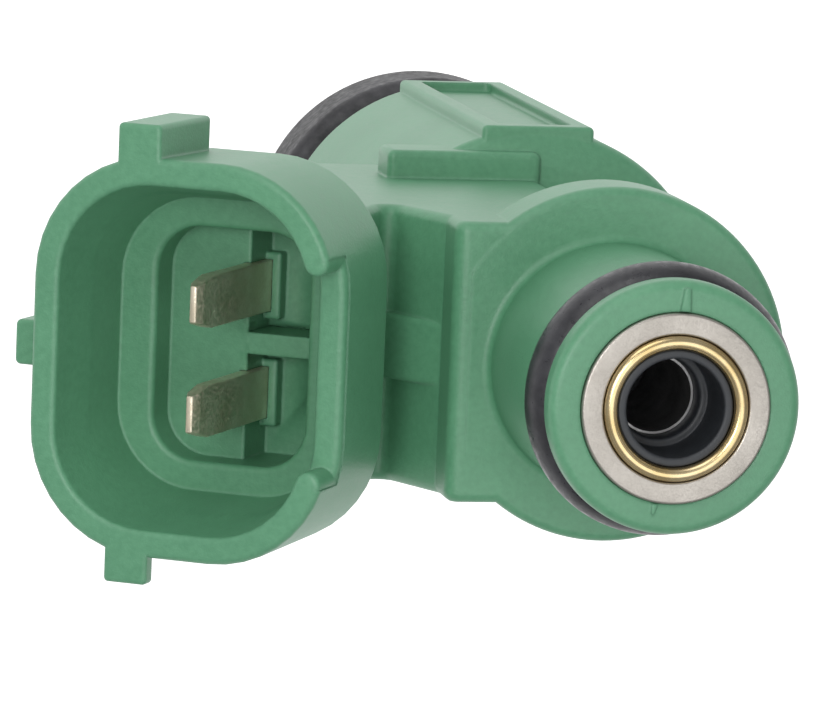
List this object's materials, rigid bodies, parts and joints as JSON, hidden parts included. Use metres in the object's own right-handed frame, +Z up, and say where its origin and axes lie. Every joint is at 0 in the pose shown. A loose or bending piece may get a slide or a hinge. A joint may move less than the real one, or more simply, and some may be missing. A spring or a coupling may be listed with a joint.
{
  "type": "fuel injector",
  "caption": "Port fuel injector with a round inlet, a rail seal, an angled two-blade connector socket, a coil section and a nozzle with an insulator ring.",
  "frame": {"origin": "centre of the nozzle's lower end, on the injector's axis", "axes": "+Z up the injector's axis from the nozzle to the fuel inlet, +X towards the connector, the label pad on the -Y side"},
  "size_m": [0.0342, 0.0201, 0.0741],
  "materials": {
    "green_resin": "satin moulded",
    "rail_seal_rubber": "smooth moulded",
    "ring_rubber": "dull moulded",
    "machined_steel": "faced satin",
    "drawn_steel": "drawn and plated",
    "armature_steel": "hard chrome",
    "ground_steel": "ground",
    "spring_steel": "drawn wire",
    "woven_steel": "woven",
    "stainless_sleeve": "satin",
    "polished_brass": "polished",
    "plated_bronze": "tin-plated, dull",
    "enamelled_copper": "enamelled wire",
    "black_nylon": "satin moulded",
    "natural_nylon": "satin moulded"
  },
  "bodies": {
    "injector": {"resin_body": "green_resin", "inlet_flange": "green_resin", "inlet_o_ring": "rail_seal_rubber", "core_tube": "machined_steel", "filter_collar": "polished_brass", "filter_frame": "black_nylon", "filter_mesh": "woven_steel", "adjusting_tube": "machined_steel", "return_spring": "spring_steel", "needle_stop": "ground_steel", "bobbin": "natural_nylon", "coil_winding": "enamelled_copper", "bobbin_seal_upper": "rail_seal_rubber", "bobbin_seal_lower": "rail_seal_rubber", "terminal_upper": "plated_bronze", "terminal_lower": "plated_bronze", "magnet_housing": "drawn_steel", "pole_washer": "drawn_steel", "gap_sleeve": "stainless_sleeve", "valve_body": "machined_steel", "nozzle_seat": "ground_steel", "orifice_plate": "stainless_sleeve", "orifice_retainer": "machined_steel", "tip_cap": "black_nylon", "insulator_ring": "ring_rubber"},
    "valve": {"armature": "armature_steel", "valve_needle": "ground_steel", "valve_ball": "ground_steel"}
  },
  "joints": [
    {"name": "valve_lift", "type": "slide", "parent": "injector", "child": "valve", "axis": [0, 0, 1], "range_m": [0, 0.00009], "stiffness_N_per_m": 2000, "springref_m": -0.0015, "deforming": ["return_spring"]}
  ]
}
